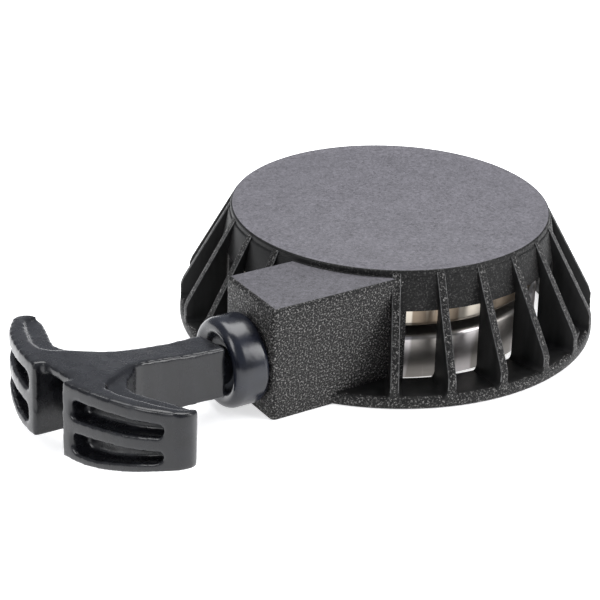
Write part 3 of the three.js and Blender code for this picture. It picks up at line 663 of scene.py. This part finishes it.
def outlet_box():
    """The box around the rope's way out, open below, its back shaped to the drum's wall."""
    arc = []
    for i in range(9):
        y = BOX_FAR + (BOX_NEAR - BOX_FAR) * i / 8
        arc.append((-math.sqrt(BOX_BACK_RADIUS**2 - y * y), y))
    bm = raised([(BOX_FRONT, BOX_NEAR), (BOX_FRONT, BOX_FAR), *arc], 0.08, BOX_TOP)
    open_faces = [
        f for f in bm.faces
        if f.normal.z < -0.5
        or (abs(f.normal.z) < 0.5 and abs(radius_of(f.calc_center_median()) - BOX_BACK_RADIUS) < 0.3)
    ]
    bmesh.ops.delete(bm, geom=open_faces, context="FACES")
    soften(bm, 1.3, 5, 50, clamp=False)
    bmesh.ops.recalc_face_normals(bm, faces=bm.faces)
    if sum(f.normal.z * f.calc_area() for f in bm.faces) < 0:
        bmesh.ops.reverse_faces(bm, faces=bm.faces)
    bmesh.ops.solidify(bm, geom=bm.faces[:], thickness=WALL * MM)
    bm.normal_update()
    # The box's top gets the grain with its painted sheen; the rounded edges below it get the darker
    # speckle as painted shade where that sheen falls off; the sides get the bright speckle.
    paint(bm, lambda p, n: BOX_LID if n.z > 0.96 else DULL if n.z > 0.25 else SPARK)
    return bm


def cover_post():
    """The hollow post inside the cover that the reel turns on."""
    bm = turned([(2.2, 8.7), (5.4, 8.7), (5.4, TOP - 1), (2.2, TOP - 1)], steps=48)
    soften(bm, 0.25, 2, 50, lambda p: height_of(p) < 10)
    paint(bm, lambda p, n: SMOOTH)
    return bm


cover_parts = [cover_drum(), cover_ring(), outlet_box(), cover_post()]
cover_parts += [cover_boss(degrees) for degrees in BOSS_ANGLES]
cover_parts += [cover_rib(degrees) for degrees in rib_angles()]
piece(
    "moulded_cover", gathered(cover_parts), "cover", ["housing"],
    [NYLON_FLAT_PAINTED_SHEEN, NYLON_SPARK, NYLON_SMOOTH, NYLON_EDGE_PAINTED_HIGHLIGHT, NYLON_DULL, NYLON_WALL, NYLON_BOX_TOP_PAINTED_SHEEN],
)


# ---------- rope guide ----------


def guide():
    """The round bush that the rope runs through, its mouth wide enough for the handle's nose."""
    inside = [(2.1, -5), (2.1, 3), (4.4, 4.6), (6.8, 6.2)]
    lip = []
    for i in range(25):
        angle = math.pi * (1 - i / 24)
        lip.append((9.85 + 2.25 * math.cos(angle), 7.2 + 2.8 * math.sin(angle)))
    back = [
        (12.1, 1.8), (11.6, 0.8), (10.6, 0.3), (7, 0.3), (7, -2.7), (8.2, -2.7), (8.2, -4.4),
        (7.4, -5),
    ]
    outline = [(radius, out - ENGINE_FACE / MM) for radius, out in inside + lip + back]
    bm = turned(outline, steps=128)
    soften(bm, 0.5, 3, 18, lambda p: height_of(p) + ENGINE_FACE / MM > 0)
    return moved(bm, Matrix.Translation(at(BOX_FRONT, GUIDE_Y, GUIDE_HEIGHT))
                 @ Matrix.Rotation(-math.pi / 2, 4, "Y"))


piece("rope_guide_bush", guide(), "cover", ["rope_guide"], [GUIDE_GLOSS], 40)


# ---------- reel ----------


def spring_cup():
    bm = turned([
        (8.9, GROOVE_TOP), (REEL_RADIUS, GROOVE_TOP), (REEL_RADIUS, 29.4), (REEL_RADIUS - SHEET, 29.4),
        (REEL_RADIUS - SHEET, GROOVE_TOP + SHEET), (8.9, GROOVE_TOP + SHEET),
    ], steps=144)
    soften(bm, 1.5, 5, 50, lambda p: radius_of(p) > 42 and height_of(p) < 17)
    soften(bm, 0.4, 2, 50, lambda p: 40 < radius_of(p) < 42 and height_of(p) < 18)
    soften(bm, 0.2, 2, 50, lambda p: height_of(p) > 29)
    paint(bm, lambda p, n: 0 if radius_of(p) > REEL_RADIUS - 0.5 else 1)
    return bm


def ratchet_cup():
    bm = turned([
        (8.9, GROOVE_BOTTOM), (REEL_RADIUS, GROOVE_BOTTOM), (REEL_RADIUS, 0.6),
        (REEL_RADIUS - SHEET, 0.6), (REEL_RADIUS - SHEET, GROOVE_BOTTOM - SHEET),
        (8.9, GROOVE_BOTTOM - SHEET),
    ], steps=144)
    soften(bm, 1.5, 5, 50, lambda p: radius_of(p) > 42 and height_of(p) > 12.5)
    soften(bm, 0.4, 2, 50, lambda p: 40 < radius_of(p) < 42 and height_of(p) > 11)
    soften(bm, 0.2, 2, 50, lambda p: height_of(p) < 1)
    paint(bm, lambda p, n: 0 if radius_of(p) > REEL_RADIUS - 0.5 else 1)
    return bm


def reel_hub():
    bm = turned([
        (6.6, 8.5), (8.6, 8.5), (8.6, 13.2), (12, 13.2), (12, 15.6), (8.6, 15.6), (8.6, 18.4),
        (6.6, 18.4),
    ], steps=64)
    soften(bm, 0.3, 2, 50)
    return bm


def round_piece(profile, steps, width, x=0.0, y=0.0, closed=False):
    bm = turned(profile, steps, closed)
    soften(bm, width, 3, 50)
    return moved(bm, Matrix.Translation((x * MM, y * MM, 0)))


def rivet(degrees):
    return round_piece([
        (0, 11.3), (1.5, 11.3), (1.5, 11.9), (0.9, 11.9), (0.9, 16.9), (1.5, 16.9), (1.5, 17.5),
        (0, 17.5),
    ], 24, 0.25, *on_circle(10.4, degrees))


def pawl_pin(x):
    return round_piece([
        (0, 7.1), (3.2, 7.1), (3.2, 8.2), (1.9, 8.2), (1.9, 13.0), (0, 13.0),
    ], 40, 0.3, x)


piece("spring_cup_sheet", spring_cup(), "reel", ["spring_cup"],
      [UPPER_ZINC, INNER_ZINC])
piece("ratchet_cup_sheet", ratchet_cup(), "reel", ["ratchet_cup"],
      [LOWER_ZINC, INNER_ZINC])
piece("reel_hub_moulding", reel_hub(), "reel", ["reel_hub"], [NATURAL_NYLON])
piece(
    "post_bush_sleeve",
    round_piece([(5.5, 9.2), (6.5, 9.2), (6.5, 18.2), (5.5, 18.2)], 64, 0.12, closed=True),
    "cover", ["post_bush"], [SINTERED_BRONZE],
)
for number, degrees in enumerate((30, 150, 270), start=1):
    piece(f"reel_rivet_head_{number}", rivet(degrees), "reel",
          [f"reel_rivet_{number}"], [FASTENER_ZINC])
for number, x in enumerate((PAWL_CIRCLE, -PAWL_CIRCLE), start=1):
    piece(f"pawl_pin_head_{number}", pawl_pin(x), "reel",
          [f"pawl_pin_{number}"], [FASTENER_ZINC])


# ---------- pawls, friction plate and centre screw ----------

for number, body in enumerate(("pawl_one", "pawl_two"), start=1):
    blade = copy_of(f"pawl_{number}")
    soften(blade, 0.25, 2, 40)
    piece(f"pawl_blade_{number}", blade, body, [f"pawl_{number}"], [PAWL_STEEL])

plate = copy_of("friction_plate")
soften(plate, 0.15, 2, 40)
piece("friction_plate_pressing", plate, "friction_plate", ["friction_plate"],
      [PAWL_STEEL])

screw = copy_of("centre_screw")
soften(screw, 0.12, 2, 40)
piece("centre_screw_cross_head", screw, "cover", ["centre_screw"],
      [FASTENER_ZINC])

piece(
    "retaining_washer_disc",
    round_piece([(2.3, 3.6), (7.4, 3.6), (7.4, 4.4), (2.3, 4.4)], 64, 0.15, closed=True),
    "cover", ["retaining_washer"], [FASTENER_ZINC],
)


# ---------- rope ----------


def rope_along(name, points, body, nodes, closed=False, radius=ROPE_RADIUS):
    """A round rope swept along points given in millimetres."""
    line = bpy.data.curves.new(name, "CURVE")
    line.dimensions = "3D"
    line.bevel_depth = radius * MM
    line.bevel_resolution = 3
    line.use_fill_caps = True
    spline = line.splines.new("POLY")
    spline.points.add(len(points) - 1)
    spline.use_cyclic_u = closed
    for point, place in zip(spline.points, points):
        point.co = (*at(*place), 1.0)
    draft = bpy.data.objects.new(name + "_line", line)
    bpy.context.scene.collection.objects.link(draft)
    view = bpy.context.evaluated_depsgraph_get()
    mesh = bpy.data.meshes.new_from_object(draft.evaluated_get(view))
    bpy.data.objects.remove(draft)
    bm = bmesh.new()
    bm.from_mesh(mesh)
    bpy.data.meshes.remove(mesh)
    clean(bm)
    return piece(name, bm, body, nodes, [BRAIDED_ROPE], 60)


def smooth_path(corners, count):
    """Points along a smooth line through the corners."""
    ends = [corners[0], *corners, corners[-1]]
    path = []
    for i in range(len(corners) - 1):
        a, b, c, d = (Vector(p) for p in ends[i:i + 4])
        for k in range(count):
            t = k / count
            path.append(0.5 * (
                2 * b + (c - a) * t + (2 * a - 5 * b + 4 * c - d) * t * t
                + (3 * b - a - 3 * c + d) * t**3
            ))
    return [*path, Vector(corners[-1])]


def coil_points():
    """The wound rope, from where the run leaves it inwards, and down to its knot."""
    steps = round(ROPE_TURNS * COIL_STEPS) - 4
    points = []
    for i in range(steps + 1):
        turn = i / COIL_STEPS
        x, y = on_circle(-ROPE_LINE - ROPE_PITCH * turn, -90 + 360 * turn)
        points.append((x, y, ROPE_HEIGHT))
    down = [points.pop(), (1.2, 14.9, 14.1), (0, REEL_KNOT_OUT, 12.4), (0, REEL_KNOT_OUT, 10.2)]
    return [*points, *smooth_path(down, 5)]


def in_handle(out):
    place = Vector((-out, 0, 0))
    place.rotate(HANDLE_TURN)
    return Vector(HANDLE_PIVOT) + place


def knot_points(centre, size):
    """An overhand knot's line, pulled tight."""
    points = []
    for i in range(48):
        t = 2 * math.pi * i / 48
        points.append((
            centre[0] + size * 0.33 * (math.sin(t) + 2 * math.sin(2 * t)),
            centre[1] + size * 0.33 * (math.cos(t) - 2 * math.cos(2 * t)),
            centre[2] - size * 0.75 * math.sin(3 * t),
        ))
    return points


rope_along("wound_rope", coil_points(), "reel", ["rope_coil"])
run = rope_along(
    "pulled_rope",
    smooth_path([
        (-1, ROPE_LINE, ROPE_HEIGHT), (-22, ROPE_LINE, ROPE_HEIGHT - 0.05),
        (-46, ROPE_LINE, GUIDE_HEIGHT + 0.4), (BOX_FRONT, GUIDE_Y - 0.05, GUIDE_HEIGHT - 0.1),
        in_handle(4), in_handle(20), in_handle(46),
    ], 24),
    None, ["rope_run"],
)
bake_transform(run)
rope_along(
    "handle_stopper_knot", knot_points(in_handle(48.2), 1.7), "pull_handle",
    ["rope_handle_knot"], True,
)
rope_along(
    "reel_stopper_knot", knot_points((0, REEL_KNOT_OUT, 8.9), 1.0), "reel",
    ["rope_reel_knot"], True, 0.8,
)


# ---------- handle ----------


def melted(bm, voxel, passes):
    """The same solid in small even faces, its edges and corners worn round."""
    mesh = bpy.data.meshes.new("draft")
    bm.to_mesh(mesh)
    bm.free()
    draft = bpy.data.objects.new("draft", mesh)
    bpy.context.scene.collection.objects.link(draft)
    remesh = draft.modifiers.new("even_faces", "REMESH")
    remesh.mode = "VOXEL"
    remesh.voxel_size = voxel * MM
    worn = draft.modifiers.new("worn_edges", "SMOOTH")
    worn.iterations = passes
    view = bpy.context.evaluated_depsgraph_get()
    even = bpy.data.meshes.new_from_object(draft.evaluated_get(view))
    bpy.data.objects.remove(draft)
    bm = bmesh.new()
    bm.from_mesh(even)
    bpy.data.meshes.remove(even)
    bmesh.ops.recalc_face_normals(bm, faces=bm.faces)
    return bm


piece(
    "t_handle_moulding", melted(merged_copy_of("handle"), HANDLE_VOXEL, HANDLE_PASSES),
    "pull_handle", ["handle"], [HANDLE_SATIN], 80,
)


# ---------- frame solids that keep their own shape ----------

for spring in ("recoil_spring", "friction_spring"):
    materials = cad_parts[spring].data.materials
    materials.clear()
    materials.append(SPRING_STEEL)


# ---------- floor, light and camera ----------


def pale_floor():
    bm = bmesh.new()
    bmesh.ops.create_grid(bm, x_segments=1, y_segments=1, size=3.0)
    moved(bm, Matrix.Translation((0, 0, ENGINE_FACE - 0.0002)))
    mesh = bpy.data.meshes.new("pale_floor")
    bm.to_mesh(mesh)
    bm.free()
    finish = Finish("floor_white", Roughness=0.9, Base_Color=(0.9, 0.9, 0.9, 1.0))
    finish.shader.inputs["Emission Color"].default_value = (1.0, 1.0, 1.0, 1.0)
    finish.shader.inputs["Emission Strength"].default_value = 0.62
    mesh.materials.append(finish.material)
    floor = bpy.data.objects.new("pale_floor", mesh)
    bpy.context.scene.collection.objects.link(floor)


def softbox(name, place, size, power, colour=(1, 1, 1)):
    lamp = bpy.data.lights.new(name, "AREA")
    lamp.shape = "RECTANGLE"
    lamp.size, lamp.size_y = size
    lamp.energy = power
    lamp.color = colour
    made = bpy.data.objects.new(name, lamp)
    bpy.context.scene.collection.objects.link(made)
    aim = Vector((-0.02, 0, -0.02)) - Vector(place)
    made.matrix_world = Matrix.Translation(place) @ aim.to_track_quat("-Z", "Y").to_matrix().to_4x4()


def studio():
    world = bpy.data.worlds.new("studio_air")
    world.use_nodes = True
    world.node_tree.nodes["Background"].inputs["Color"].default_value = (0.86, 0.9, 1.0, 1.0)
    world.node_tree.nodes["Background"].inputs["Strength"].default_value = 0.38
    bpy.context.scene.world = world
    softbox("overhead_softbox", (0.1, 0.25, 0.75), (0.8, 0.6), 8.5)
    softbox("right_softbox", (0.5, -0.55, 0.4), (0.45, 0.5), 5.0)
    softbox("left_softbox", (-0.75, -0.1, 0.5), (0.3, 0.5), 3.0)
    bpy.context.scene.view_settings.view_transform = "Standard"


def camera():
    """A long lens to the front left of the starter and above it."""
    around = math.radians(CAMERA_AZIMUTH)
    above = math.radians(CAMERA_ELEVATION)
    back = Vector((
        math.sin(around) * math.cos(above), -math.cos(around) * math.cos(above), math.sin(above),
    ))
    right = Vector((math.cos(around), math.sin(around), 0))
    up = back.cross(right)
    aim_right, aim_up = CAMERA_AIM
    target = (right * aim_right + up * aim_up) * MM + Vector((0, 0, ENGINE_FACE))
    roll = math.radians(CAMERA_ROLL)
    across = right * math.cos(roll) + up * math.sin(roll)
    upright = up * math.cos(roll) - right * math.sin(roll)
    lens = bpy.data.cameras.new("camera")
    lens.sensor_width = 36
    lens.lens = CAMERA_LENS
    lens.clip_start = 0.01
    made = bpy.data.objects.new("camera", lens)
    bpy.context.scene.collection.objects.link(made)
    turn = Matrix((across, upright, back)).transposed().to_4x4()
    made.matrix_world = Matrix.Translation(target + back * CAMERA_DISTANCE) @ turn
    bpy.context.scene.camera = made


pale_floor()
studio()
camera()
